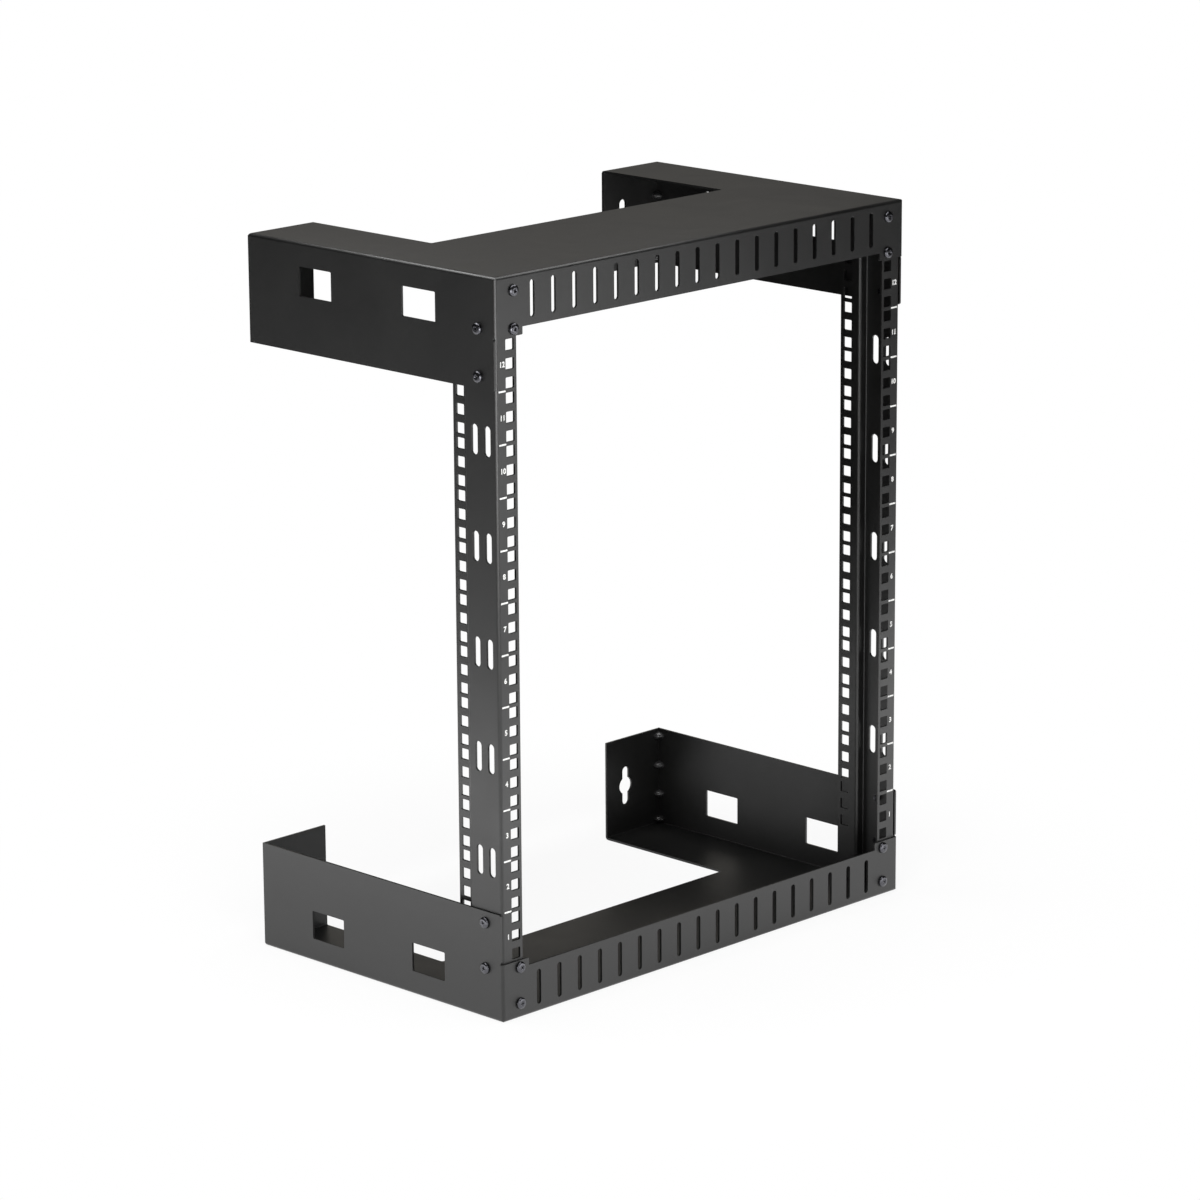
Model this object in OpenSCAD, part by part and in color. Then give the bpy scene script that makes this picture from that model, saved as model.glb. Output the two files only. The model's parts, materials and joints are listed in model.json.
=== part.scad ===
// Wall mount rack for 19 inch equipment, an open frame of folded steel sheet.
// Two like end frames, top and bottom, are joined by two posts and sixteen screws.
// Origin under the middle of its box, +Z up, the wall is on the +Y side. Millimetres.

/* [Rack] */
// Height of the bay, in rack units
units = 12; // [6:1:18]
// Height of one rack unit
unit_h = 44.45; // [40:0.05:50]
// From the outer face of an end frame to the first rack unit
end_margin = 51.3; // [48:0.1:70]
// Distance between the left and the right hole column
rail_pitch = 465.1; // [440:0.1:600]
// From a hole column to the side plate's outer face
column_to_side = 17.95; // [17:0.05:24]
// Depth from the aprons to the wall
frame_d = 300; // [260:5:450]
// Thickness of the end frames' sheet
sheet = 2; // [1.5:0.1:2.5]
// Outer radius of the end frames' bends
bend_r = 3; // [2.6:0.1:4]

/* [End frames] */
// Height of an apron between its ears
apron_h = 44.5; // [42:0.5:47]
// Gap between an apron's ears and the first rack unit
ear_gap = 0.3; // [0.1:0.1:1.5]
// From a post's inner edge inwards to the edge of the ear over it
ear_reach = 5.5; // [0:0.5:12]
// Height of the side plates
side_h = 94.5; // [90:0.5:140]
// From the aprons' face back to the side plates' edges above the ears
side_setback = 2; // [0:0.5:2.5]
// Depth of the plate's front strip
strip_d = 150; // [100:5:200]
// Width of the plate's arms and of the wall flanges
arm_w = 72.5; // [65:0.5:90]
// Radius of the sheets' free corners
corner_r = 2; // [0.5:0.5:4]

/* [Apron slots] */
// Number of slots in one apron, evenly spaced between the posts' hole columns
apron_slots = 18; // [4:2:24]
// Width of a slot
apron_slot_w = 5; // [3:0.5:8]
// Length of a slot, end to end
apron_slot_l = 31; // [20:0.5:32]
// From the plate's outer face to the slots' near ends
apron_slot_start = 7; // [5:0.5:9]

/* [Side windows] */
// Size of a window along the depth
window_d = 40; // [20:1:60]
// Height of a window
window_h = 25.5; // [15:0.5:40]
// From the plate's outer face to the middle of the windows
window_rise = 33.5; // [25:0.5:40]
// From the aprons to the middle of the front windows
window_front = 90.5; // [85:0.5:110]
// From the aprons to the middle of the rear windows
window_rear = 216.5; // [180:0.5:225]

/* [Wall keyholes] */
// From a side plate's outer face to the middle of a keyhole
keyhole_inset = 47.3; // [40:0.1:56]
// From the plate's outer face to the middle of a keyhole
keyhole_rise = 48; // [35:0.5:60]
// Diameter of the opening that the screw head passes
keyhole_d = 16.5; // [12:0.5:20]
// Width of the slots above and below it
keyhole_slot_w = 8.5; // [5:0.5:10]
// Length of both slots together, end to end
keyhole_l = 37; // [30:0.5:45]

/* [Posts] */
// From a hole column to the post's inner edge
column_to_edge = 7.55; // [6.5:0.05:12]
// Thickness of the posts' sheet
post_sheet = 2; // [1.5:0.1:2.5]
// Outer radius of the posts' bends
post_bend_r = 3; // [2.6:0.1:3.2]
// Depth of a post
post_d = 59.5; // [55:0.5:80]
// From a post's face to the step in its web
post_step_y = 36.5; // [34:0.5:42]
// Sideways size of the step
post_step = 8.5; // [6.5:0.5:12]
// From a post's face to the middle of its web's slots and screws
web_line = 18.5; // [17:0.5:20]
// Gap between a post's end and the bend in the end frame
post_end_gap = 0.5; // [0.2:0.1:5]
// Side of a square hole
square_w = 9.5; // [9:0.1:10]
// Corner radius of a square hole
square_r = 0.8; // [0.4:0.1:2]
// From a post's rear edge to the rear hole column
rear_column = 8; // [6.5:0.5:10]
// Width of a lacing slot in a post's web
lace_slot_w = 7.5; // [4:0.5:9]
// Length of a lacing slot, end to end
lace_slot_l = 26; // [15:1:40]
// Distance between the two slots of a pair
lace_slot_gap = 15; // [12:0.5:16]
// From one pair of slots to the next
lace_pitch = 90; // [60:1:100]
// Number of pairs in one post
lace_pairs = 5; // [1:2:5]

/* [Screws] */
// Diameter of a screw
screw_d = 5; // [4:0.5:6]
// Length under the head
screw_l = 9; // [6:0.5:12]
// Diameter of the pan head
head_d = 10; // [8:0.5:11]
// Height of the pan head
head_h = 3; // [2:0.1:3.5]
// Height of the head's straight rim
head_rim_h = 1.2; // [0.5:0.1:1.6]
// Width of the cross recess
cross_w = 1.2; // [0.8:0.1:1.6]
// Length of the cross recess, end to end
cross_l = 5.4; // [4:0.2:6]
// Depth of the cross recess
cross_depth = 1.6; // [1:0.1:1.8]
// Diameter of the clearance holes in the end frames
sheet_hole_d = 5.6; // [5:0.1:7]
// Radial play of a screw in its hole in the post
thread_play = 0.1; // [0.05:0.05:0.2]
// From a hole column inwards to the aprons' screws
apron_screw_inset = 2.5; // [0:0.5:3]
// From the plate's outer face to the first side screw
side_screw_rise = 44.5; // [40:0.5:50]
// From the second side screw to the side plate's free edge
side_screw_edge = 10; // [8:0.5:14]

/* [Hidden] */
$fn = 48;
// Height between the middles of the first two holes of a unit, as between the next two
hole_step = 15.875;
// From a unit's lower edge to its first hole
hole_first = 6.35;
holes_per_unit = 3;
// Overrun of every cut past the faces that it goes through
over = 1;
frame_w = rail_pitch + 2 * column_to_side;
frame_h = units * unit_h + 2 * end_margin;
// Front face of the aprons, set so that the screw heads in front count in the middle
front_y = (head_h - frame_d) / 2;
wall_y = front_y + frame_d;
side_x = frame_w / 2;
ear_h = end_margin - ear_gap;
apron_slot_pitch = rail_pitch / (apron_slots + 1);
// Outer face of a post's web, against the side plate, and front face of its flange
post_x = side_x - sheet;
post_y = front_y + sheet;
post_z = bend_r + post_end_gap;
post_h = frame_h - 2 * post_z;
opening_w = rail_pitch - 2 * column_to_edge;
post_flange_w = post_x - opening_w / 2;
web_middle = post_y + web_line;
rear_column_y = post_y + post_d - rear_column;
// The aprons' screws carry on the steps of the hole columns below the first unit
apron_screw_x = rail_pitch / 2 - apron_screw_inset;
apron_screw_far = end_margin - hole_first;
apron_screw_near = end_margin - hole_first - 2 * hole_step;
side_screw_far = side_h - side_screw_edge;
steel = "#3c3c3e";
post_steel = "#454547";
screw_steel = "#1e1e20";

// Placing

// The top end frame is the bottom one turned over
module at_top() translate([0, 0, frame_h]) mirror([0, 0, 1]) children();

// The left side is the right one mirrored
module at_left() mirror([1, 0, 0]) children();

// Draws a flat outline in the XZ plane and gives it a thickness along +Y from y
module facing_front(y, thickness)
    translate([0, y + thickness, 0]) rotate([90, 0, 0]) linear_extrude(thickness) children();

// Draws a flat outline in the YZ plane and gives it a thickness along +X from x
module facing_side(x, thickness)
    translate([x, 0, 0]) rotate([90, 0, 90]) linear_extrude(thickness) children();

// Outlines

// A rectangle from one corner, with its four corners rounded
module rounded(w, h, r) {
    translate([r, 0]) square([w - 2 * r, h]);
    translate([0, r]) square([w, h - 2 * r]);
    for (x = [r, w - r], y = [r, h - r]) translate([x, y]) circle(r);
}

// A rectangle whose two corners at the start of its height stay square
module rounded_far(w, h, r) {
    rounded(w, h, r);
    square([w, h / 2]);
}

// A square hole with rounded corners, about its middle
module square_hole() translate([-square_w / 2, -square_w / 2]) rounded(square_w, square_w, square_r);

// An upright slot with round ends, about its middle
module upright_slot(w, l) {
    square([w, l - w], center = true);
    for (end = [-1, 1]) translate([0, end * (l - w) / 2]) circle(w / 2);
}

// A slot at both ends of a round opening
module double_keyhole() {
    upright_slot(keyhole_slot_w, keyhole_l);
    circle(keyhole_d / 2);
}

// A quarter of a bend, about the middle of its arcs, towards -X and -Y
module bend(r, thickness) intersection() {
    difference() {
        circle(r);
        circle(r - thickness);
    }
    translate([-r, -r]) square(r);
}

// The end frame, as the bottom one

// The space inside the outer faces, or the inner ones, with the bends' roundings
module bent_block(inset) {
    r = bend_r - inset;
    w = frame_w - 2 * inset;
    d = frame_d - 2 * inset;
    h = side_h - inset;
    intersection() {
        translate([-w / 2, wall_y - inset, inset]) mirror([0, 1, 0])
            linear_extrude(h) rounded_far(w, d, r);
        facing_front(front_y + inset, d) translate([w / 2, side_h]) rotate(180) rounded_far(w, h, r);
        facing_side(-w / 2, w) translate([wall_y - inset, side_h]) rotate(180) rounded_far(d, h, r);
    }
}

// All the sheet between two heights
module bent_sheet() difference() {
    bent_block(0);
    bent_block(sheet);
}

// Flat U of sheet with all the bends that lead up from it
module end_plate() difference() {
    intersection() {
        bent_sheet();
        translate([-side_x, front_y, 0]) cube([frame_w, frame_d, bend_r]);
    }
    gap_w = frame_w - 2 * arm_w;
    gap_d = frame_d - strip_d;
    translate([-gap_w / 2, front_y + strip_d, -over])
        linear_extrude(bend_r + 2 * over) rounded_gap(gap_w, gap_d + over);
}

// The gap between a plate's arms, with rounded corners at the strip
module rounded_gap(w, d) translate([w, d]) rotate(180) rounded_far(w, d, corner_r);

// Front flange with its two ears, which reach round the corners
module apron() difference() {
    intersection() {
        bent_sheet();
        translate([-side_x, front_y, bend_r]) cube([frame_w, bend_r, ear_h - bend_r]);
        facing_front(front_y, bend_r) apron_outline();
    }
    facing_front(front_y - over, sheet + 2 * over) apron_cuts();
}

module apron_outline() {
    ear_x = opening_w / 2 - ear_reach;
    translate([-side_x, 0]) square([frame_w, apron_h]);
    for (side = [0, 1]) mirror([side, 0])
        translate([ear_x, 0]) rounded_far(side_x - ear_x, ear_h, corner_r / 2);
}

module apron_cuts() {
    for (i = [0:apron_slots - 1])
        translate([(i - (apron_slots - 1) / 2) * apron_slot_pitch, apron_slot_start + apron_slot_l / 2])
            upright_slot(apron_slot_w, apron_slot_l);
    for (side = [-1, 1], z = [apron_screw_near, apron_screw_far])
        translate([side * apron_screw_x, z]) circle(sheet_hole_d / 2);
}

// Right side plate, whose front edge comes forward again above the ear
module side_plate() facing_side(side_x - sheet, sheet) difference() {
    union() {
        translate([front_y + bend_r, bend_r]) square([frame_d - bend_r, ear_h]);
        translate([front_y + side_setback + corner_r, ear_h])
            square([frame_d - side_setback - corner_r, side_h - ear_h]);
        translate([front_y + side_setback, ear_h + ear_gap])
            rounded(3 * corner_r, side_h - ear_h - ear_gap, corner_r);
    }
    for (y = [window_front, window_rear])
        translate([front_y + y - window_d / 2, window_rise - window_h / 2])
            rounded(window_d, window_h, corner_r / 2);
    for (z = [side_screw_rise, side_screw_far])
        translate([web_middle, z]) circle(sheet_hole_d / 2);
}

// Right wall flange, from the plate's rear bend up to the side plate's height
module wall_flange() facing_front(wall_y - sheet, sheet) difference() {
    translate([side_x - arm_w, bend_r]) square([arm_w - sheet, side_h - bend_r]);
    translate([side_x - keyhole_inset, keyhole_rise]) double_keyhole();
}

// The post, as the right one

// Its cross-section, from the web's outer face inwards and from its front face back
module post_section() {
    t = post_sheet;
    r = post_bend_r;
    step_back = post_step_y + t;
    step_in = post_step + t;
    translate([r, 0]) square([post_flange_w - r, t]);
    translate([r, r]) bend(r, t);
    translate([0, r]) square([t, step_back - 2 * r]);
    translate([r, step_back - r]) mirror([0, 1]) bend(r, t);
    translate([r, post_step_y]) square([step_in - 2 * r, t]);
    translate([step_in - r, post_step_y + r]) mirror([1, 0]) bend(r, t);
    translate([post_step, post_step_y + r]) square([t, post_d - post_step_y - r]);
}

// Middles of all the square holes of a column, and their squares
module square_column() for (u = [0:units - 1], hole = [0:holes_per_unit - 1])
    translate([0, end_margin + u * unit_h + hole_first + hole * hole_step]) square_hole();

// The slots for lacing cables to the web, in pairs about the post's middle
module lace_slots() for (pair = [0:lace_pairs - 1], side = [-1, 1])
    translate([side * lace_slot_gap / 2, frame_h / 2 + (pair - (lace_pairs - 1) / 2) * lace_pitch])
        upright_slot(lace_slot_w, lace_slot_l);

module post() difference() {
    translate([post_x, post_y, post_z]) linear_extrude(post_h) mirror([1, 0]) post_section();
    facing_front(post_y - over, post_sheet + 2 * over) {
        translate([rail_pitch / 2, 0]) square_column();
        for (z = [apron_screw_near, apron_screw_far], rise = [z, frame_h - z])
            translate([apron_screw_x, rise]) circle(screw_d / 2 + thread_play);
    }
    facing_side(post_x - post_sheet - over, post_sheet + 2 * over) translate([web_middle, 0]) {
        lace_slots();
        for (z = [side_screw_rise, side_screw_far], rise = [z, frame_h - z])
            translate([0, rise]) circle(screw_d / 2 + thread_play);
    }
    facing_side(post_x - post_step - post_sheet - over, post_sheet + 2 * over)
        translate([rear_column_y, 0]) square_column();
}

// Screws

// Pan head screw with a cross recess, its head up from the seat at z = 0
module screw() {
    dome = head_h - head_rim_h;
    dome_r = (pow(head_d / 2, 2) + pow(dome, 2)) / (2 * dome);
    color(screw_steel) {
        translate([0, 0, -screw_l]) cylinder(d = screw_d, h = screw_l + head_rim_h / 2);
        difference() {
            rotate_extrude() intersection() {
                square([head_d / 2, head_h]);
                translate([0, head_h - dome_r]) circle(dome_r, $fn = 180);
            }
            for (turn = [0, 90]) rotate(turn)
                translate([-cross_l / 2, -cross_w / 2, head_h - cross_depth])
                    cube([cross_l, cross_w, cross_depth + over]);
        }
    }
}

module apron_screw(z) translate([apron_screw_x, front_y, z]) rotate([90, 0, 0]) screw();
module side_screw(z) translate([side_x, web_middle, z]) rotate([0, 90, 0]) screw();

// Sub-parts

module bottom_plate() color(steel) end_plate();
module bottom_apron() color(steel) apron();
module bottom_right_side() color(steel) side_plate();
module bottom_left_side() color(steel) at_left() side_plate();
module bottom_right_wall_flange() color(steel) wall_flange();
module bottom_left_wall_flange() color(steel) at_left() wall_flange();

module top_plate() at_top() bottom_plate();
module top_apron() at_top() bottom_apron();
module top_right_side() at_top() bottom_right_side();
module top_left_side() at_top() bottom_left_side();
module top_right_wall_flange() at_top() bottom_right_wall_flange();
module top_left_wall_flange() at_top() bottom_left_wall_flange();

module right_post() color(post_steel) post();
module left_post() color(post_steel) at_left() post();

module bottom_right_apron_screw_lower() apron_screw(apron_screw_near);
module bottom_right_apron_screw_upper() apron_screw(apron_screw_far);
module bottom_right_side_screw_lower() side_screw(side_screw_rise);
module bottom_right_side_screw_upper() side_screw(side_screw_far);
module bottom_left_apron_screw_lower() at_left() bottom_right_apron_screw_lower();
module bottom_left_apron_screw_upper() at_left() bottom_right_apron_screw_upper();
module bottom_left_side_screw_lower() at_left() bottom_right_side_screw_lower();
module bottom_left_side_screw_upper() at_left() bottom_right_side_screw_upper();
module top_right_apron_screw_upper() at_top() bottom_right_apron_screw_lower();
module top_right_apron_screw_lower() at_top() bottom_right_apron_screw_upper();
module top_right_side_screw_upper() at_top() bottom_right_side_screw_lower();
module top_right_side_screw_lower() at_top() bottom_right_side_screw_upper();
module top_left_apron_screw_upper() at_top() bottom_left_apron_screw_lower();
module top_left_apron_screw_lower() at_top() bottom_left_apron_screw_upper();
module top_left_side_screw_upper() at_top() bottom_left_side_screw_lower();
module top_left_side_screw_lower() at_top() bottom_left_side_screw_upper();

bottom_plate();
bottom_apron();
bottom_left_side();
bottom_right_side();
bottom_left_wall_flange();
bottom_right_wall_flange();
top_plate();
top_apron();
top_left_side();
top_right_side();
top_left_wall_flange();
top_right_wall_flange();
left_post();
right_post();
bottom_left_apron_screw_lower();
bottom_left_apron_screw_upper();
bottom_left_side_screw_lower();
bottom_left_side_screw_upper();
bottom_right_apron_screw_lower();
bottom_right_apron_screw_upper();
bottom_right_side_screw_lower();
bottom_right_side_screw_upper();
top_left_apron_screw_lower();
top_left_apron_screw_upper();
top_left_side_screw_lower();
top_left_side_screw_upper();
top_right_apron_screw_lower();
top_right_apron_screw_upper();
top_right_side_screw_lower();
top_right_side_screw_upper();
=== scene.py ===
# Looks of the wall mount rack: powder coated sheet, screws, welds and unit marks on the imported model.

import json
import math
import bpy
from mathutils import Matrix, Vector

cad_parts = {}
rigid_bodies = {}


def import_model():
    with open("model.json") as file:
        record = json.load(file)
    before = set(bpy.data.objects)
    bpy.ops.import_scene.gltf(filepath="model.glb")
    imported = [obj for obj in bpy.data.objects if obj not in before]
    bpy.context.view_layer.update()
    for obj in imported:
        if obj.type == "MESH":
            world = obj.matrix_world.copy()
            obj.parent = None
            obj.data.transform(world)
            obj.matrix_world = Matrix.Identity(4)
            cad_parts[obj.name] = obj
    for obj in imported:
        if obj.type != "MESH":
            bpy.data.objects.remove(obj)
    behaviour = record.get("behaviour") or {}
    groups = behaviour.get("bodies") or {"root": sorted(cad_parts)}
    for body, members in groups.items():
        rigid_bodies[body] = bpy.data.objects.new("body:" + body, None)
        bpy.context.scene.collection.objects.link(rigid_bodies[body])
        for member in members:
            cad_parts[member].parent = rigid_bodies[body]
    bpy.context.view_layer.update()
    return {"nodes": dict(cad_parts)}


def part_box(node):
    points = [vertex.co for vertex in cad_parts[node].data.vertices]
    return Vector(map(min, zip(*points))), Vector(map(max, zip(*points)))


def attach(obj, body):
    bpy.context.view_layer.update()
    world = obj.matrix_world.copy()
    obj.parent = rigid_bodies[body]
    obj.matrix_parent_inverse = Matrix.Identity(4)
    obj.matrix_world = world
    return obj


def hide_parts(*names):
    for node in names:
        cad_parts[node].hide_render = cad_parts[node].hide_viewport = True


bl_info = {
    "name": "Wall mount rack looks",
    "version": (1, 0, 0),
    "blender": (4, 5, 0),
    "location": "View3D > Sidebar > Rack",
    "description": "Finishes the packed wall mount rack and sets its studio",
    "category": "Object",
}

import bpy
from bpy.props import (FloatProperty, FloatVectorProperty, IntProperty, PointerProperty,
                       StringProperty)
from mathutils import Matrix, Vector

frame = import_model()
MM = 0.001

ENDS = ("bottom", "top")
SIDES = ("left", "right")
SHEET_FACES = ("plate", "apron", "left_side", "right_side", "left_wall_flange", "right_wall_flange")
SCREWS = [name for name in sorted(frame["nodes"]) if "_screw_" in name]

FLAT_ANGLE = math.radians(0.5)  # Faces that meet at less than this are one flat face
EDGE_ANGLE = math.radians(40)  # Edges sharper than this are cut edges, which the coat rounds
BEND_ANGLE = math.radians(50)  # Faces that meet at less than this are shaded as one bend
CROWN_ANGLES = (0, 20, 40, 58, 76)  # Degrees along the arc of a screw's crown, ring by ring
CROWN_ARC = 0.62  # Radius of that arc, as a share of the head's radius
SCREW_TURN = 37  # Degrees from one screw's recess to the next one's
WELD_RISES = (88, 59, 31, 6)  # Tack welds of one corner, in mm from the end frame's outer face
DIGIT_SHARE = 0.7  # Height of a figure in Blender's own font, as a share of the font's size
INK_SPREAD = 0.045  # How far the ink spreads past a figure's outline, as a share of its height


# Sizes and colours that a user would change

class SheetSettings(bpy.types.PropertyGroup):
    """Coat of the end frames and the posts"""
    edge_radius: FloatProperty(
        name="Edge radius", description="Rounding that the coat gives the cut edges of the sheet",
        default=0.4 * MM, min=0.05 * MM, max=0.7 * MM, unit="LENGTH", precision=5)
    coat_colour: StringProperty(
        name="Coat colour", description="Colour of the black powder coat, as an sRGB hex value",
        default="#070707")
    coat_worn_colour: StringProperty(
        name="Lighter coat colour",
        description="Colour of the coat where it lies thinner, as an sRGB hex value", default="#0d0d0c")
    coat_roughness: FloatProperty(
        name="Coat roughness", description="Roughness of the fine textured coat",
        default=0.42, min=0.0, max=1.0, subtype="FACTOR")
    coat_ior: FloatProperty(
        name="Coat IOR", description="Refractive index of the coat", default=1.45, min=1.0, max=2.0)
    grain: FloatProperty(
        name="Grain", description="Distance between two grains of the coat's texture as drawn",
        default=1.1 * MM, min=0.3 * MM, max=4 * MM, unit="LENGTH", precision=5)
    cloud: FloatProperty(
        name="Cloud", description="Size of the soft patches in the coat's tone",
        default=60 * MM, min=10 * MM, max=200 * MM, unit="LENGTH")


class MarkSettings(bpy.types.PropertyGroup):
    """Printed unit lines and numbers"""
    ink_colour: StringProperty(
        name="Ink colour", description="Colour of the printed unit marks, as an sRGB hex value",
        default="#f4f4f2")
    ink_height: FloatProperty(
        name="Ink thickness", description="How far the ink stands off the post's face",
        default=0.06 * MM, min=0.02 * MM, max=0.2 * MM, unit="LENGTH", precision=6)
    unit_height: FloatProperty(
        name="Rack unit", description="Height of one rack unit",
        default=44.45 * MM, unit="LENGTH", precision=5)
    units: IntProperty(
        name="Units", description="Number of rack units", default=12, min=1, max=48)
    first_unit: FloatProperty(
        name="First unit", description="Height of the first unit's lower edge",
        default=51.3 * MM, unit="LENGTH", precision=5)
    line_width: FloatProperty(
        name="Line width", description="Width of the line at each unit's edge",
        default=1.5 * MM, unit="LENGTH", precision=5)
    line_start: FloatProperty(
        name="Line start", description="From the middle of the rack to the outer end of the lines",
        default=245.6 * MM, unit="LENGTH", precision=5)
    line_end: FloatProperty(
        name="Line end", description="From the middle of the rack to the inner end of the lines",
        default=237.6 * MM, unit="LENGTH", precision=5)
    digit_height: FloatProperty(
        name="Digit height", description="Height of the unit numbers",
        default=4.4 * MM, unit="LENGTH", precision=5)
    digit_place: FloatProperty(
        name="Digit place", description="From the middle of the rack to the middle of the numbers",
        default=241.4 * MM, unit="LENGTH", precision=5)


class ScrewSettings(bpy.types.PropertyGroup):
    """Pan head screws with a cross recess"""
    screw_colour: StringProperty(
        name="Screw colour", description="Colour of the black zinc plate, as an sRGB hex value",
        default="#505054")
    shank_d: FloatProperty(
        name="Shank", description="Diameter over the thread", default=4.9 * MM, unit="LENGTH", precision=5)
    shank_l: FloatProperty(
        name="Shank length", description="Length under the head", default=9 * MM, unit="LENGTH", precision=5)
    pitch: FloatProperty(
        name="Pitch", description="Distance between two turns of the thread",
        default=0.8 * MM, unit="LENGTH", precision=5)
    head_d: FloatProperty(
        name="Head", description="Diameter of the pan head", default=10 * MM, unit="LENGTH", precision=5)
    head_h: FloatProperty(
        name="Head height", description="Height of the pan head", default=3 * MM, unit="LENGTH", precision=5)
    cross_l: FloatProperty(
        name="Cross length", description="Length of the cross recess, end to end",
        default=5.6 * MM, unit="LENGTH", precision=5)
    cross_w: FloatProperty(
        name="Cross width", description="Width of the cross recess's wings",
        default=1.15 * MM, unit="LENGTH", precision=5)
    cross_depth: FloatProperty(
        name="Cross depth", description="Depth of the cross recess",
        default=1.9 * MM, unit="LENGTH", precision=5)
    head_edge: FloatProperty(
        name="Head rounding", description="Rounding of the head's edges",
        default=0.12 * MM, unit="LENGTH", precision=5)


class WeldSettings(bpy.types.PropertyGroup):
    """Tack welds in the corners of the end frames"""
    bead_l: FloatProperty(
        name="Bead length", description="Length of a tack weld along the corner",
        default=7.4 * MM, unit="LENGTH", precision=5)
    bead_w: FloatProperty(
        name="Bead width", description="Width of a tack weld on each sheet",
        default=7.0 * MM, unit="LENGTH", precision=5)
    bead_sunk: FloatProperty(
        name="Bead depth", description="How far a tack weld is sunk into both sheets",
        default=0.3 * MM, unit="LENGTH", precision=5)
    lump_size: FloatProperty(
        name="Lump size", description="Distance between two lumps of a tack weld",
        default=2.2 * MM, unit="LENGTH", precision=5)
    lump_height: FloatProperty(
        name="Lump height", description="How high the lumps of a tack weld stand",
        default=0.9 * MM, unit="LENGTH", precision=5)
    # Lighter colour of the coat on the welds: a painted highlight, so that the beads read as catching light
    # in the shaded corners
    weld_highlight_colour: StringProperty(
        name="Weld colour", description="Colour of the coat's thin skin over a weld, as an sRGB hex value",
        default="#2e2e2f")


class StageSettings(bpy.types.PropertyGroup):
    """White sweep, lamps, black flags and camera"""
    floor_colour: StringProperty(
        name="Floor colour", description="Colour of the floor and backdrop, as an sRGB hex value",
        default="#f4f4f4")
    camera_place: FloatVectorProperty(
        name="Camera place", description="Where the camera stands",
        default=(-2.9629, -2.9408, 1.3781), size=3, subtype="TRANSLATION", unit="LENGTH")
    camera_yaw: FloatProperty(
        name="Camera yaw", description="Turn of the view from the wall's direction towards the right",
        default=0.7923, unit="ROTATION")
    camera_pitch: FloatProperty(
        name="Camera pitch", description="Downward tilt of the view", default=0.2542, unit="ROTATION")
    camera_roll: FloatProperty(
        name="Camera roll", description="Roll of the view", default=-0.0064, unit="ROTATION")
    lens: FloatProperty(
        name="Lens", description="Focal length on a 36 mm sensor, in millimetres", default=147.02)
    white_share: FloatProperty(
        name="White share", description="How much of the floor near the object shows as plain white",
        default=0.88, min=0.0, max=1.0, subtype="FACTOR")
    fade_start: FloatProperty(
        name="Fade start", description="From the middle of the floor to where it starts to turn plain white",
        default=0.33, unit="LENGTH")
    fade_end: FloatProperty(
        name="Fade end", description="From the middle of the floor to where it is plain white",
        default=0.62, unit="LENGTH")
    shade_place: FloatVectorProperty(
        name="Shade place", description="Middle of the shade that the rack throws on the paper",
        default=(0.03, 0.1, 0), size=3, subtype="TRANSLATION", unit="LENGTH")
    shade_start: FloatProperty(
        name="Shade start", description="Radius up to which that shade is full", default=0.2, unit="LENGTH")
    shade_end: FloatProperty(
        name="Shade end", description="Radius at which that shade is gone", default=0.34, unit="LENGTH")
    shade_share: FloatProperty(
        name="Shade share", description="How much of the lit paper the coat mirrors in that shade",
        default=0.3, min=0.0, max=1.0, subtype="FACTOR")
    paper_reach: FloatProperty(
        name="Paper reach", description="From the object to the end of the lit paper that the coat mirrors",
        default=1.9, unit="LENGTH")
    paper_glow: FloatProperty(
        name="Paper glow", description="Brightness of the lit paper as the coat and the screws mirror it",
        default=1.8)
    key_power: FloatProperty(
        name="Overhead lamp", description="Power of the large overhead lamp in watts", default=90.0)
    fill_power: FloatProperty(
        name="Fill lamp", description="Power of the large lamp at the camera's side in watts", default=70.0)
    bend_power: FloatProperty(
        name="Upright bend", default=1.9,
        description="Power of the card that the upright front left bend mirrors, in watts")
    left_edge_power: FloatProperty(
        name="Top left bend", default=1.7,
        description="Power of the card that the top plate's left bend mirrors, in watts")
    front_edge_power: FloatProperty(
        name="Top front bend", default=0.9,
        description="Power of the card that the top plate's front bend mirrors, in watts")
    front_power: FloatProperty(
        name="Front card", default=3.3,
        description="Power of the card that the upper apron mirrors, in watts")
    rear_power: FloatProperty(
        name="Rear card", description="Power of the card that the top plate mirrors, in watts", default=0.72)
    low_rear_power: FloatProperty(
        name="Low rear card", description="Power of the card that the bottom plate mirrors, in watts",
        default=0.8)
    low_power: FloatProperty(
        name="Low cards", description="Power of each of the two low cards in watts", default=1.6)
    world_strength: FloatProperty(
        name="Room light", description="Strength of the even light of the room", default=0.025)


# Colours and nodes

def linear(code):
    """A colour written as an sRGB hex value, in the renderer's linear values."""
    values = [int(code[i:i + 2], 16) / 255 for i in (1, 3, 5)]
    return [v / 12.92 if v <= 0.04045 else ((v + 0.055) / 1.055) ** 2.4 for v in values] + [1.0]


def add_node(material, kind, inputs=None, **settings):
    """Adds one node with its settings. An input is a value, or another node's output to link."""
    tree = material.node_tree
    node = tree.nodes.new(kind)
    for name, value in settings.items():
        setattr(node, name, value)
    for name, value in (inputs or {}).items():
        if isinstance(value, bpy.types.NodeSocket):
            tree.links.new(value, node.inputs[name])
        else:
            node.inputs[name].default_value = value
    return node


def new_material(name):
    """An empty material whose surface goes to the returned output node."""
    material = bpy.data.materials.new(name)
    material.use_nodes = True
    material.node_tree.nodes.clear()
    return material, add_node(material, "ShaderNodeOutputMaterial")


def ramp_stops(node, stops):
    """Sets the stops of a colour ramp: places and colours."""
    elements = node.color_ramp.elements
    while len(elements) > 1:
        elements.remove(elements[-1])
    elements[0].position, elements[0].color = stops[0]
    for place, colour in stops[1:]:
        elements.new(place).color = colour


# Finishes

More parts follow.
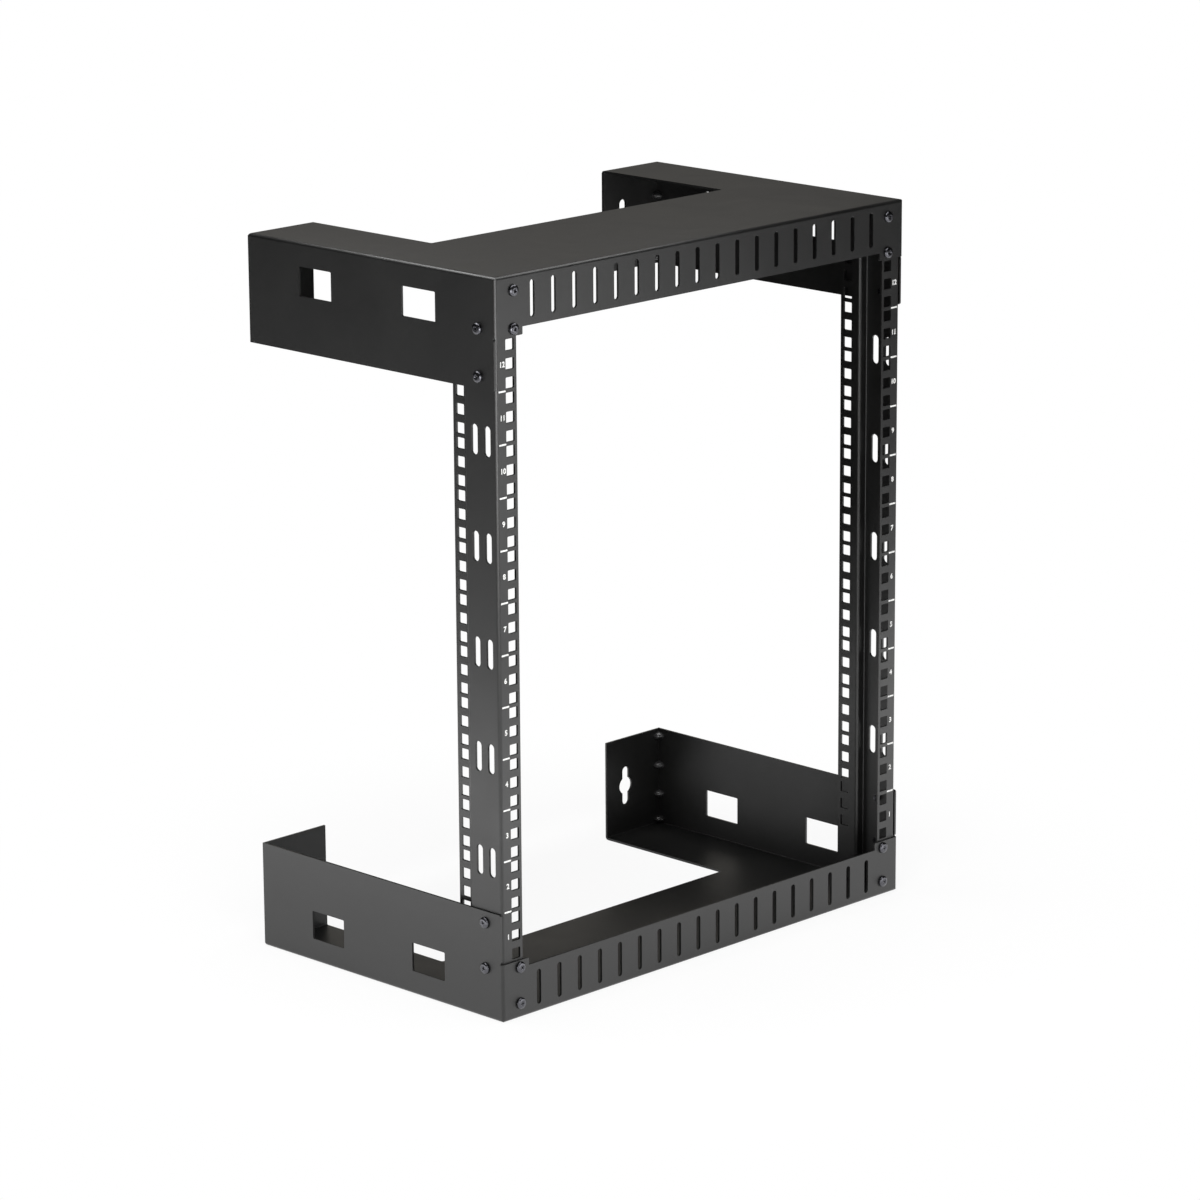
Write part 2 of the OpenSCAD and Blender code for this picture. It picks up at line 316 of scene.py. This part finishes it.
def powder_coat(name, sheet, colours, roughness=0.0):
    """Black polyester powder coat, sprayed and baked: a matt skin with fine grains that scatter the
    highlights, tones that drift slightly over a hand's width, and a lighter touch on its high grains."""
    material, output = new_material(name)
    place = add_node(material, "ShaderNodeTexCoord").outputs["Object"]
    # Real grains are 0.2 to 0.4 mm apart, and they are drawn coarser so that they show in the render
    grains = add_node(material, "ShaderNodeTexNoise", {
        "Vector": place, "Scale": 1 / sheet.grain, "Detail": 3.0, "Roughness": 0.6})
    clouds = add_node(material, "ShaderNodeTexNoise", {
        "Vector": place, "Scale": 1 / sheet.cloud, "Detail": 2.0, "Roughness": 0.5, "Distortion": 0.4})
    both = add_node(material, "ShaderNodeMix", {
        "Factor": 0.45, "A": clouds.outputs["Fac"], "B": grains.outputs["Fac"]}, data_type="FLOAT")
    tones = add_node(material, "ShaderNodeValToRGB", {"Fac": both.outputs["Result"]})
    ramp_stops(tones, [(0.35, linear(colours[0])), (0.7, linear(colours[1]))])
    # The gloss of a baked coat drifts with its thickness, by a few hundredths
    gloss = add_node(material, "ShaderNodeMapRange", {
        "Value": both.outputs["Result"], "From Min": 0.3, "From Max": 0.7,
        "To Min": sheet.coat_roughness + roughness - 0.05, "To Max": sheet.coat_roughness + roughness + 0.06})
    relief = add_node(material, "ShaderNodeBump", {
        "Height": grains.outputs["Fac"], "Strength": 0.35, "Distance": 0.12 * MM})
    shader = add_node(material, "ShaderNodeBsdfPrincipled", {
        "Base Color": tones.outputs["Color"], "Roughness": gloss.outputs["Result"],
        "Normal": relief.outputs["Normal"], "IOR": sheet.coat_ior})
    material.node_tree.links.new(shader.outputs["BSDF"], output.inputs["Surface"])
    return material


def black_zinc(screws):
    """Black passivated zinc plate on a cold headed steel screw: a dark, slightly blue metal that
    mirrors the pale floor in small bright spots and the room as black."""
    material, output = new_material("black_zinc_plate")
    place = add_node(material, "ShaderNodeTexCoord").outputs["Object"]
    # Crystals of the plate at 0.5 mm, drawn as a faint change of tone and gloss
    crystals = add_node(material, "ShaderNodeTexNoise", {
        "Vector": place, "Scale": 1 / (0.5 * MM), "Detail": 3.0, "Roughness": 0.65})
    tones = add_node(material, "ShaderNodeValToRGB", {"Fac": crystals.outputs["Fac"]})
    dark = linear(screws.screw_colour)
    ramp_stops(tones, [(0.3, [v * 0.7 for v in dark[:3]] + [1.0]), (0.75, dark)])
    gloss = add_node(material, "ShaderNodeMapRange", {
        "Value": crystals.outputs["Fac"], "From Min": 0.3, "From Max": 0.7, "To Min": 0.22, "To Max": 0.34})
    relief = add_node(material, "ShaderNodeBump", {
        "Height": crystals.outputs["Fac"], "Strength": 0.12, "Distance": 0.05 * MM})
    shader = add_node(material, "ShaderNodeBsdfPrincipled", {
        "Base Color": tones.outputs["Color"], "Roughness": gloss.outputs["Result"], "Metallic": 1.0,
        "Normal": relief.outputs["Normal"]})
    material.node_tree.links.new(shader.outputs["BSDF"], output.inputs["Surface"])
    return material


def screen_ink(marks):
    """White screen ink: an even matt film that covers the coat a little less at its pinholes."""
    material, output = new_material("white_screen_ink")
    place = add_node(material, "ShaderNodeTexCoord").outputs["Object"]
    # Pinholes over the coat's grains, about 0.6 mm apart
    pinholes = add_node(material, "ShaderNodeTexNoise", {
        "Vector": place, "Scale": 1 / (0.6 * MM), "Detail": 2.0})
    tones = add_node(material, "ShaderNodeValToRGB", {"Fac": pinholes.outputs["Fac"]})
    ink = linear(marks.ink_colour)
    ramp_stops(tones, [(0.3, [v * 0.72 for v in ink[:3]] + [1.0]), (0.48, ink)])
    shader = add_node(material, "ShaderNodeBsdfPrincipled", {
        "Base Color": tones.outputs["Color"], "Roughness": 0.55, "IOR": 1.5})
    material.node_tree.links.new(shader.outputs["BSDF"], output.inputs["Surface"])
    return material


def white_sweep(stage):
    """Matt white paper sweep: it shows as white behind the object and keeps the object's soft shadow."""
    material, output = new_material("white_paper_sweep")
    place = add_node(material, "ShaderNodeTexCoord").outputs["Object"]
    # Tooth of the paper at 3 mm, far softer than the eye picks out
    tooth = add_node(material, "ShaderNodeTexNoise", {"Vector": place, "Scale": 1 / (3 * MM), "Detail": 2.0})
    relief = add_node(material, "ShaderNodeBump", {
        "Height": tooth.outputs["Fac"], "Strength": 0.05, "Distance": 0.1 * MM})
    paper = add_node(material, "ShaderNodeBsdfDiffuse", {
        "Color": linear(stage.floor_colour), "Normal": relief.outputs["Normal"]})
    rays = add_node(material, "ShaderNodeLightPath")
    glow = add_node(material, "ShaderNodeMapRange", {
        "Value": rays.outputs["Is Camera Ray"], "To Min": stage.paper_glow, "To Max": 1.0})
    white = add_node(material, "ShaderNodeEmission", {
        "Color": linear("#ffffff"), "Strength": glow.outputs["Result"]})
    # Seen by the camera, the paper turns fully white away from the object, and its shadow stays
    away = add_node(material, "ShaderNodeVectorMath", {0: place}, operation="LENGTH").outputs["Value"]
    seen = add_node(material, "ShaderNodeMapRange", {
        "Value": away, "From Min": stage.fade_start, "From Max": stage.fade_end,
        "To Min": stage.white_share, "To Max": 1.0}, interpolation_type="SMOOTHSTEP")
    # Mirrored in the coat, the lit paper ends a few steps away, in the darker room
    mirrored = add_node(material, "ShaderNodeMapRange", {
        "Value": away, "From Min": stage.paper_reach * 0.3, "From Max": stage.paper_reach,
        "To Min": 0.9, "To Max": 0.0}, interpolation_type="SMOOTHSTEP")
    # In the rack's own shade, inside and just behind it, there is little to mirror
    off = add_node(material, "ShaderNodeVectorMath", {0: place, 1: stage.shade_place}, operation="DISTANCE")
    shade = add_node(material, "ShaderNodeMapRange", {
        "Value": off.outputs["Value"], "From Min": stage.shade_start, "From Max": stage.shade_end,
        "To Min": stage.shade_share, "To Max": 1.0}, interpolation_type="SMOOTHSTEP")
    mirrored = add_node(material, "ShaderNodeMath", {
        0: mirrored.outputs["Result"], 1: shade.outputs["Result"]}, operation="MULTIPLY")
    direct = add_node(material, "ShaderNodeMath", {
        0: rays.outputs["Is Camera Ray"], 1: seen.outputs["Result"]}, operation="MULTIPLY")
    bounced = add_node(material, "ShaderNodeMath", {
        0: rays.outputs["Is Glossy Ray"], 1: rays.outputs["Is Transmission Ray"]}, operation="MAXIMUM")
    share = add_node(material, "ShaderNodeMath", {
        0: bounced.outputs["Value"], 1: mirrored.outputs["Value"], 2: direct.outputs["Value"]},
        operation="MULTIPLY_ADD")
    mix = add_node(material, "ShaderNodeMixShader", {
        "Fac": share.outputs["Value"], 1: paper.outputs["BSDF"], 2: white.outputs["Emission"]})
    material.node_tree.links.new(mix.outputs["Shader"], output.inputs["Surface"])
    return material


def black_cloth():
    """Black velvet of a studio flag: it mirrors nothing and reads as an unlit gap."""
    material, output = new_material("black_velvet")
    cloth = add_node(material, "ShaderNodeBsdfDiffuse", {"Color": linear("#040404"), "Roughness": 1.0})
    material.node_tree.links.new(cloth.outputs["BSDF"], output.inputs["Surface"])
    return material


# Modelling steps

def only(*objects):
    """Selects these objects alone, and makes the first one active."""
    if bpy.context.object and bpy.context.object.mode != "OBJECT":
        bpy.ops.object.mode_set(mode="OBJECT")
    for other in bpy.context.view_layer.objects:
        other.select_set(False)
    for obj in objects:
        obj.select_set(True)
    bpy.context.view_layer.objects.active = objects[0]
    return objects[0]


def select_part(obj, kind, wanted):
    """Opens a mesh in edit mode with only the wanted vertices, edges or faces selected."""
    only(obj)
    mode = {"vertices": "VERT", "edges": "EDGE", "polygons": "FACE"}[kind]
    bpy.ops.object.mode_set(mode="EDIT")
    bpy.ops.mesh.select_mode(type=mode)
    bpy.ops.mesh.select_all(action="DESELECT")
    bpy.ops.object.mode_set(mode="OBJECT")
    for part in getattr(obj.data, kind):
        part.select = wanted(part)
    bpy.ops.object.mode_set(mode="EDIT")


def copy_of(source, name):
    """A copy with its own mesh, under a new name."""
    obj = source.copy()
    obj.data = source.data.copy()
    obj.parent = None
    for key in list(obj.keys()):
        if key.startswith("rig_"):
            del obj[key]
    obj.name = obj.data.name = name
    bpy.context.scene.collection.objects.link(obj)
    obj.hide_render = obj.hide_viewport = False
    return obj


def apply_modifier(obj, kind, **settings):
    """Adds a modifier with its settings and applies it."""
    only(obj)
    modifier = obj.modifiers.new(kind.lower(), kind)
    for name, value in settings.items():
        setattr(modifier, name, value)
    bpy.ops.object.modifier_apply(modifier=modifier.name)
    if not obj.data.polygons:
        raise RuntimeError(f"The {kind} modifier left nothing of {obj.name}")


def heal(obj):
    """Joins a CAD mesh's loose triangles and dissolves the edges that lie in its flat faces."""
    only(obj)
    bpy.ops.object.mode_set(mode="EDIT")
    bpy.ops.mesh.select_all(action="SELECT")
    bpy.ops.mesh.remove_doubles(threshold=0.001 * MM)
    bpy.ops.mesh.dissolve_limited(angle_limit=FLAT_ANGLE)
    bpy.ops.object.mode_set(mode="OBJECT")


def finish_piece(obj, material, nodes=()):
    """Gives a piece its finish and its ride, and hides the CAD nodes that it stands for."""
    obj.data.materials.clear()
    obj.data.materials.append(material)
    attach(obj, "root")
    if nodes:
        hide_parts(*nodes)
    return obj


def coated_sheet(name, nodes, sheet):
    """One sheet piece: the CAD nodes' own faces in one skin, with the coat's rounding on cut edges."""
    obj = copy_of(frame["nodes"][nodes[0]], name)
    heal(obj)
    for node in nodes[1:]:
        other = copy_of(frame["nodes"][node], node + "_face")
        heal(other)
        apply_modifier(obj, "BOOLEAN", operation="UNION", solver="EXACT", object=other)
        bpy.data.objects.remove(other)
    heal(obj)
    apply_modifier(obj, "BEVEL", width=sheet.edge_radius, segments=2, limit_method="ANGLE",
                   angle_limit=EDGE_ANGLE)
    only(obj)
    bpy.ops.object.shade_smooth_by_angle(angle=BEND_ANGLE)
    apply_modifier(obj, "WEIGHTED_NORMAL", mode="FACE_AREA", weight=100, keep_sharp=True)
    return obj


# Operators

class RACK_OT_end_frames(bpy.types.Operator):
    """Finish the bottom and the top end frame, each one folded and coated sheet"""
    bl_idname = "rack.end_frames"
    bl_label = "End frames"

    def execute(self, context):
        sheet = context.scene.rack_sheet
        coat = powder_coat("black_powder_coat_frames", sheet, (sheet.coat_colour, sheet.coat_worn_colour))
        for end in ENDS:
            nodes = [f"{end}_{face}" for face in SHEET_FACES]
            obj = coated_sheet(f"{end}_end_frame", nodes, sheet)
            finish_piece(obj, coat, nodes)
        return {"FINISHED"}


class RACK_OT_posts(bpy.types.Operator):
    """Finish the left and the right post with their hole columns"""
    bl_idname = "rack.posts"
    bl_label = "Posts"

    def execute(self, context):
        sheet = context.scene.rack_sheet
        coat = powder_coat("black_powder_coat_posts", sheet, (sheet.coat_colour, sheet.coat_worn_colour))
        for side in SIDES:
            node = f"{side}_post"
            finish_piece(coated_sheet(f"{side}_post_coated", [node], sheet), coat, [node])
        return {"FINISHED"}


class RACK_OT_screws(bpy.types.Operator):
    """Model a pan head screw with its cross recess and thread, and set it at each screw's place"""
    bl_idname = "rack.screws"
    bl_label = "Screws"

    def head(self, screws):
        """Pan head about +Z, its seat at z = 0, with a pressed cross recess."""
        rim = 0.4 * screws.head_h
        bpy.ops.mesh.primitive_cylinder_add(
            vertices=48, radius=screws.head_d / 2, depth=rim, location=(0, 0, rim / 2))
        obj = only(bpy.context.object)
        bpy.ops.object.transform_apply(location=True, rotation=False, scale=False)
        select_part(obj, "polygons", lambda face: face.normal.z > 0.9)
        # The crown rises from the rim to its flat middle in rings along an arc
        angles = [math.radians(a) for a in CROWN_ANGLES]
        rings = [(1 - CROWN_ARC + CROWN_ARC * math.cos(a), math.sin(a) / math.sin(angles[-1]))
                 for a in angles]
        for (wide, low), (narrow, high) in zip(rings, rings[1:]):
            bpy.ops.mesh.extrude_region_move(
                TRANSFORM_OT_translate={"value": (0, 0, (high - low) * (screws.head_h - rim))})
            bpy.ops.transform.resize(value=(narrow / wide, narrow / wide, 1), center_override=(0, 0, 0))
        bpy.ops.object.mode_set(mode="OBJECT")
        cutter = self.cross(screws)
        apply_modifier(obj, "BOOLEAN", operation="DIFFERENCE", solver="EXACT", object=cutter)
        bpy.data.objects.remove(cutter)
        apply_modifier(obj, "BEVEL", width=screws.head_edge, segments=2, limit_method="ANGLE",
                       angle_limit=math.radians(35))
        return obj

    def cross(self, screws):
        """The driver's point that presses the recess: two crossed wings that taper to the bottom."""
        wings = []
        for length, width in ((screws.cross_l, screws.cross_w), (screws.cross_w, screws.cross_l)):
            bpy.ops.mesh.primitive_cube_add(size=1, location=(0, 0, screws.head_h))
            wing = only(bpy.context.object)
            wing.scale = (length, width, 2 * screws.cross_depth)
            bpy.ops.object.transform_apply(location=True, rotation=False, scale=True)
            select_part(wing, "vertices", lambda vertex: vertex.co.z < screws.head_h)
            bpy.ops.transform.resize(value=(0.45, 0.45, 1), center_override=(0, 0, screws.head_h))
            bpy.ops.object.mode_set(mode="OBJECT")
            wings.append(wing)
        apply_modifier(wings[0], "BOOLEAN", operation="UNION", solver="EXACT", object=wings[1])
        bpy.data.objects.remove(wings[1])
        return wings[0]

    def shank(self, screws):
        """Threaded shank from its tip up into the head: one tooth's outline, screwed round the axis."""
        core, top, pitch = 0.82 * screws.shank_d / 2, screws.shank_d / 2, screws.pitch
        turns = int(screws.shank_l / pitch)
        into_head = 0.3 * MM
        start = into_head - turns * pitch
        bpy.ops.mesh.primitive_circle_add(vertices=5, radius=top, fill_type="NOTHING")
        obj = only(bpy.context.object)
        # Each point's distance from the axis, and its height as a share of the pitch
        tooth = [(core, 0), (core, 0.25), (top, 0.55), (top, 0.7), (core, 1)]
        for vertex, (x, z) in zip(obj.data.vertices, tooth):
            vertex.co = (x, 0, start + z * pitch)
        # The circle's last edge would close the outline, so it goes
        select_part(obj, "edges", lambda edge: set(edge.vertices) == {0, 4})
        bpy.ops.mesh.delete(type="EDGE")
        bpy.ops.object.mode_set(mode="OBJECT")
        apply_modifier(obj, "SCREW", screw_offset=pitch, iterations=turns - 1, steps=20, render_steps=20,
                       use_merge_vertices=True, merge_threshold=0.001 * MM)
        bpy.ops.object.mode_set(mode="EDIT")
        bpy.ops.mesh.select_all(action="SELECT")
        bpy.ops.mesh.remove_doubles(threshold=0.002 * MM)
        bpy.ops.mesh.fill_holes(sides=0)
        bpy.ops.mesh.normals_make_consistent(inside=False)
        bpy.ops.object.mode_set(mode="OBJECT")
        return obj

    def execute(self, context):
        screws = context.scene.rack_screws
        zinc = black_zinc(screws)
        head = self.head(screws)
        shank = self.shank(screws)
        only(head, shank)
        bpy.ops.object.join()
        pattern = only(head)
        bpy.ops.object.shade_smooth_by_angle(angle=math.radians(32))
        for index, node in enumerate(SCREWS):
            low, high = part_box(node)
            middle = (low + high) / 2
            if "_apron_" in node:
                # Its head looks to the front
                turn = Matrix.Rotation(math.radians(90), 4, "X")
                seat = Vector((middle.x, low.y + screws.head_h, middle.z))
            else:
                side = -1 if "_left_" in node else 1
                outer = high.x if side > 0 else low.x
                turn = Matrix.Rotation(math.radians(90 * side), 4, "Y")
                seat = Vector((outer - side * screws.head_h, middle.y, middle.z))
            # Each screw came to rest at its own angle
            own = Matrix.Rotation(math.radians(SCREW_TURN * index % 90), 4, "Z")
            obj = copy_of(pattern, node + "_threaded")
            obj.data.transform(Matrix.Translation(seat) @ turn @ own)
            finish_piece(obj, zinc, [node])
        bpy.data.objects.remove(pattern)
        return {"FINISHED"}


class RACK_OT_tack_welds(bpy.types.Operator):
    """Lay the tack welds in the corners between the wall flanges and the side plates"""
    bl_idname = "rack.tack_welds"
    bl_label = "Tack welds"

    def bead(self, welds):
        """One coated bead in the corner of +X and +Y, a little sunk into both sheets."""
        bpy.ops.mesh.primitive_uv_sphere_add(segments=32, ring_count=20, radius=1)
        obj = only(bpy.context.object)
        obj.scale = (welds.bead_w, welds.bead_w, welds.bead_l / 2)
        bpy.ops.object.transform_apply(location=False, rotation=False, scale=True)
        lumps = bpy.data.textures.new("weld_lumps", "CLOUDS")
        lumps.noise_scale = welds.lump_size
        apply_modifier(obj, "DISPLACE", texture=lumps, texture_coords="LOCAL",
                       strength=welds.lump_height, mid_level=0.5)
        for normal in ((1, 0, 0), (0, 1, 0)):
            bpy.ops.object.mode_set(mode="EDIT")
            bpy.ops.mesh.select_all(action="SELECT")
            bpy.ops.mesh.bisect(
                plane_co=Vector(normal) * welds.bead_sunk, plane_no=normal, use_fill=True, clear_outer=True)
            bpy.ops.object.mode_set(mode="OBJECT")
        bpy.ops.object.shade_smooth_by_angle(angle=BEND_ANGLE)
        return obj

    def execute(self, context):
        welds = context.scene.rack_welds
        sheet = context.scene.rack_sheet
        # The welds take a lighter coat than the sheets: a painted highlight on the beads in the shaded
        # corners
        coat = powder_coat("thin_coat_on_welds", sheet, (sheet.coat_worn_colour, welds.weld_highlight_colour), -0.16)
        pattern = self.bead(welds)
        for end in ENDS:
            low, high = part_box(f"{end}_plate")
            for side in SIDES:
                near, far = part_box(f"{end}_{side}_wall_flange")
                flip, x = (-1, near.x) if side == "left" else (1, far.x)
                beads = []
                for index, rise in enumerate(WELD_RISES):
                    z = low.z + rise * MM if end == "bottom" else high.z - rise * MM
                    bead = copy_of(pattern, f"{end}_{side}_bead")
                    # Every second bead stands on its head, so that neighbours differ
                    upright = -1 if index % 2 else 1
                    bead.data.transform(Matrix.Diagonal((flip, 1, upright, 1)))
                    if flip * upright < 0:
                        bead.data.flip_normals()
                    bead.data.transform(Matrix.Translation((x, near.y, z)))
                    beads.append(bead)
                only(*beads)
                bpy.ops.object.join()
                beads[0].name = beads[0].data.name = f"{end}_{side}_tack_welds"
                finish_piece(beads[0], coat)
        bpy.data.objects.remove(pattern)
        return {"FINISHED"}


class RACK_OT_unit_marks(bpy.types.Operator):
    """Print the unit lines and numbers beside the hole columns"""
    bl_idname = "rack.unit_marks"
    bl_label = "Unit marks"

    def line(self, marks, x, y, z):
        """One printed line with rounded ends, standing on the post's face."""
        length = marks.line_start - marks.line_end
        bpy.ops.mesh.primitive_cube_add(size=1, location=(x, y, z))
        obj = only(bpy.context.object)
        obj.scale = (length, marks.ink_height, marks.line_width)
        bpy.ops.object.transform_apply(location=True, rotation=False, scale=True)
        ends = [vertex.co.y for vertex in obj.data.vertices]
        select_part(obj, "edges", lambda edge: ends[edge.vertices[0]] != ends[edge.vertices[1]])
        bpy.ops.mesh.bevel(offset=0.3 * marks.line_width, segments=3)
        bpy.ops.object.mode_set(mode="OBJECT")
        return obj

    def number(self, marks, text, x, y, z):
        """One printed number, upright on the post's face."""
        bpy.ops.object.text_add(location=(0, 0, 0))
        obj = only(bpy.context.object)
        obj.data.body = text
        obj.data.align_x, obj.data.align_y = "CENTER", "CENTER"
        obj.data.size = marks.digit_height / DIGIT_SHARE
        obj.data.resolution_u = 3
        obj.data.extrude = marks.ink_height / 2
        obj.data.offset = INK_SPREAD * marks.digit_height
        bpy.ops.object.convert(target="MESH")
        obj = bpy.context.object
        obj.data.transform(Matrix.Translation((x, y, z)) @ Matrix.Rotation(math.radians(90), 4, "X"))
        return obj

    def execute(self, context):
        marks = context.scene.rack_marks
        ink = screen_ink(marks)
        for side in SIDES:
            low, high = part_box(f"{side}_post")
            flip = -1 if side == "left" else 1
            y = low.y - marks.ink_height / 2
            pieces = []
            for unit in range(marks.units):
                edge = marks.first_unit + unit * marks.unit_height
                if unit:
                    pieces.append(self.line(marks, flip * (marks.line_start + marks.line_end) / 2, y, edge))
                pieces.append(self.number(marks, str(unit + 1), flip * marks.digit_place, y,
                                          edge + marks.unit_height / 2))
            only(*pieces)
            bpy.ops.object.join()
            obj = pieces[0]
            obj.name = obj.data.name = f"{side}_unit_marks"
            finish_piece(obj, ink)
        return {"FINISHED"}


class RACK_OT_stage(bpy.types.Operator):
    """Set the white sweep, the soft lamps, the black flags and the camera"""
    bl_idname = "rack.stage"
    bl_label = "Stage"

    def lamp(self, name, power, size, place, target, mirrored_only=True):
        """A soft flat lamp, of that width and height, that looks at a point and isn't seen itself. A card
        is only mirrored in the coat and the screws, and leaves the floor as it is."""
        bpy.ops.object.light_add(type="AREA", location=place)
        lamp = bpy.context.object
        lamp.name = name
        lamp.data.shape = "RECTANGLE"
        lamp.data.size, lamp.data.size_y = size
        lamp.visible_camera = False
        lamp.visible_diffuse = not mirrored_only
        lamp.data.energy = power
        lamp.rotation_euler = (Vector(target) - Vector(place)).to_track_quat("-Z", "Y").to_euler()
        return lamp

    def lamps(self, stage):
        """Two large lamps that light everything, and the cards that the sheets and their bends mirror."""
        middle = (0, 0, 0.3)
        self.lamp("overhead_lamp", stage.key_power, (2.4, 2.4), (-0.2, 0.1, 2.9), middle, mirrored_only=False)
        # The fill lights the ink and the floor from the camera's side, and the coat doesn't mirror it
        fill = self.lamp("fill_lamp", stage.fill_power, (2.4, 2.0), (-1.8, -1.8, 1.4), middle,
                         mirrored_only=False)
        fill.visible_glossy = False
        # Cards that the bends round the front left corner mirror, most of all near its top
        corner = (-0.25, -0.15, 0.62)
        bend = self.lamp("bend_card", stage.bend_power, (0.55, 0.36), (-0.63, -0.54, 0.48),
                         (-0.31, -0.09, 0.48))
        bend.data.spread = math.radians(90)
        self.lamp("left_edge_card", stage.left_edge_power, (0.4, 0.15), (-0.36, 0.12, 0.91), corner)
        self.lamp("front_edge_card", stage.front_edge_power, (0.3, 0.17), (0.05, -0.25, 0.9), corner)
        # Cards that the upper apron and the plates mirror, more at their left than at their right
        self.lamp("front_card", stage.front_power, (0.7, 0.4), (0.2, -0.95, 0.38), (-0.2, -0.15, 0.6))
        rear = self.lamp("rear_card", stage.rear_power, (1.15, 0.7), (0.62, 0.88, 1.05), (-0.12, -0.05, 0.63))
        low = self.lamp("low_rear_card", stage.low_rear_power, (1.0, 0.4), (0.75, 1.0, 0.32), (-0.15, 0, 0))
        rear.data.color = low.data.color = linear("#fffaf0")[:3]
        # Two low cards, which the upright sheets mirror near the floor and ever less higher up
        self.lamp("low_left_card", stage.low_power, (1.4, 0.12), (-0.56, 0.3, 0.06), (-0.25, 0.3, 0.06))
        self.lamp("low_front_card", stage.low_power, (1.4, 0.12), (0.3, -0.46, 0.06), (0.3, -0.15, 0.06))

    def flags(self):
        """Two black flags, behind and left of the opening, that keep the inner faces dark."""
        cloth = black_cloth()
        for name, width, place, turn in (("rear_flag", 0.47, (0, 0.2, 0.375), 0),
                                         ("left_flag", 0.28, (-0.15, 0.04, 0.375), 90)):
            bpy.ops.mesh.primitive_plane_add(
                size=1, location=place, rotation=(math.radians(90), 0, math.radians(turn)))
            flag = only(bpy.context.object)
            flag.name = name
            flag.scale = (width, 0.49, 1)
            flag.data.materials.append(cloth)
            flag.visible_camera = flag.visible_diffuse = False

    def room(self, stage):
        """The room round the sweep: plain white to the camera, and a faint even light to the object."""
        world = bpy.data.worlds.new("studio_room")
        world.use_nodes = True
        world.node_tree.nodes.clear()
        output = add_node(world, "ShaderNodeOutputWorld")
        room = add_node(world, "ShaderNodeBackground", {
            "Color": linear("#ffffff"), "Strength": stage.world_strength})
        white = add_node(world, "ShaderNodeBackground", {"Color": linear("#ffffff"), "Strength": 1.0})
        rays = add_node(world, "ShaderNodeLightPath")
        mix = add_node(world, "ShaderNodeMixShader", {
            "Fac": rays.outputs["Is Camera Ray"],
            1: room.outputs["Background"], 2: white.outputs["Background"]})
        world.node_tree.links.new(mix.outputs["Shader"], output.inputs["Surface"])
        return world

    def camera(self, stage):
        """The photo's camera, as it was fitted to the rack's holes and corners."""
        yaw, pitch, roll = stage.camera_yaw, stage.camera_pitch, stage.camera_roll
        ahead = Vector((math.sin(yaw) * math.cos(pitch), math.cos(yaw) * math.cos(pitch), -math.sin(pitch)))
        across = Vector((math.cos(yaw), -math.sin(yaw), 0))
        up = across.cross(ahead)
        right = across * math.cos(roll) + up * math.sin(roll)
        top = up * math.cos(roll) - across * math.sin(roll)
        bpy.ops.object.camera_add()
        camera = bpy.context.object
        camera.name = "camera"
        camera.matrix_world = Matrix.Translation(stage.camera_place) @ Matrix(
            (right, top, -ahead)).transposed().to_4x4()
        camera.data.sensor_width = 36
        camera.data.lens = stage.lens
        camera.data.clip_end = 60
        return camera

    def execute(self, context):
        stage = context.scene.rack_stage
        bpy.ops.mesh.primitive_circle_add(vertices=96, radius=14, fill_type="NGON", location=(0, 0, 0))
        floor = only(bpy.context.object)
        floor.name = "white_sweep"
        floor.data.materials.append(white_sweep(stage))
        self.lamps(stage)
        self.flags()
        context.scene.world = self.room(stage)
        context.scene.camera = self.camera(stage)
        context.scene.view_settings.view_transform = "Standard"
        return {"FINISHED"}


class RACK_PT_panel(bpy.types.Panel):
    """The rack's finishing steps in the 3D view's sidebar"""
    bl_idname = "RACK_PT_panel"
    bl_label = "Wall mount rack"
    bl_space_type = "VIEW_3D"
    bl_region_type = "UI"
    bl_category = "Rack"

    def draw(self, context):
        layout = self.layout
        for group, operators in PANEL_ROWS:
            box = layout.box()
            settings = getattr(context.scene, group)
            for name in settings.bl_rna.properties.keys():
                if name not in ("rna_type", "name"):
                    box.prop(settings, name)
            for operator in operators:
                box.operator(operator)


PANEL_ROWS = [
    ("rack_sheet", ["rack.end_frames", "rack.posts"]),
    ("rack_screws", ["rack.screws"]),
    ("rack_welds", ["rack.tack_welds"]),
    ("rack_marks", ["rack.unit_marks"]),
    ("rack_stage", ["rack.stage"]),
]
SETTINGS = {
    "rack_sheet": SheetSettings, "rack_screws": ScrewSettings, "rack_welds": WeldSettings,
    "rack_marks": MarkSettings, "rack_stage": StageSettings,
}
OPERATORS = (RACK_OT_end_frames, RACK_OT_posts, RACK_OT_screws, RACK_OT_tack_welds, RACK_OT_unit_marks,
             RACK_OT_stage)


def register():
    for name, group in SETTINGS.items():
        bpy.utils.register_class(group)
        setattr(bpy.types.Scene, name, PointerProperty(type=group))
    for cls in OPERATORS + (RACK_PT_panel,):
        bpy.utils.register_class(cls)


def unregister():
    for cls in (RACK_PT_panel,) + OPERATORS:
        bpy.utils.unregister_class(cls)
    for name, group in SETTINGS.items():
        delattr(bpy.types.Scene, name)
        bpy.utils.unregister_class(group)


def main():
    register()
    bpy.ops.rack.end_frames()
    bpy.ops.rack.posts()
    bpy.ops.rack.screws()
    bpy.ops.rack.tack_welds()
    bpy.ops.rack.unit_marks()
    bpy.ops.rack.stage()


if __name__ == "__main__":
    main()
